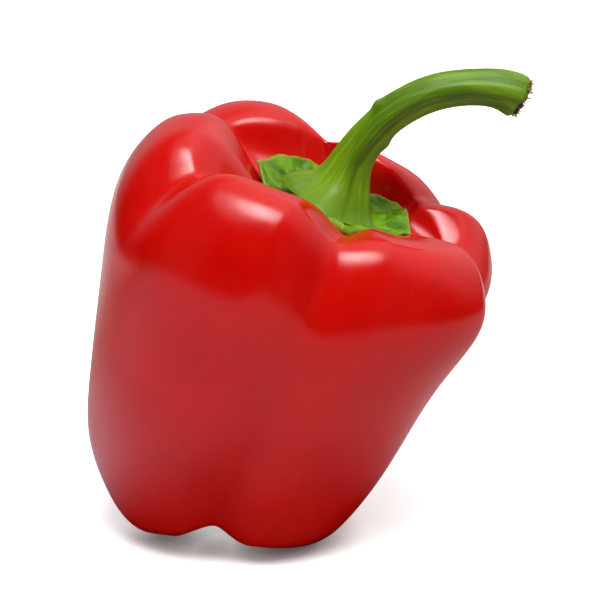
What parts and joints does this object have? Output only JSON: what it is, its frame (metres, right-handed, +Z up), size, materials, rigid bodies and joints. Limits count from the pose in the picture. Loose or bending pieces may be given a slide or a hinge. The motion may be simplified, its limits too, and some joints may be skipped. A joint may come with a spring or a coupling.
{
  "type": "bell pepper",
  "caption": "Whole red bell pepper leaning on its blossom-end lobes, with a green calyx and a curved stem cut at its end.",
  "frame": {"origin": "centre of the bounding box on the surface the pepper rests on", "axes": "+Z up, the fruit leans towards +X where the stem points, and its best side faces -Y"},
  "size_m": [0.0978, 0.0842, 0.1047],
  "materials": {
    "skin": "waxy satin red skin",
    "calyx": "leathery green leaf tissue",
    "stem": "smooth green stem, brown and torn at the cut"
  },
  "bodies": {
    "root": {"fruit": "skin", "calyx": "calyx", "stem": "stem"}
  },
  "joints": []
}
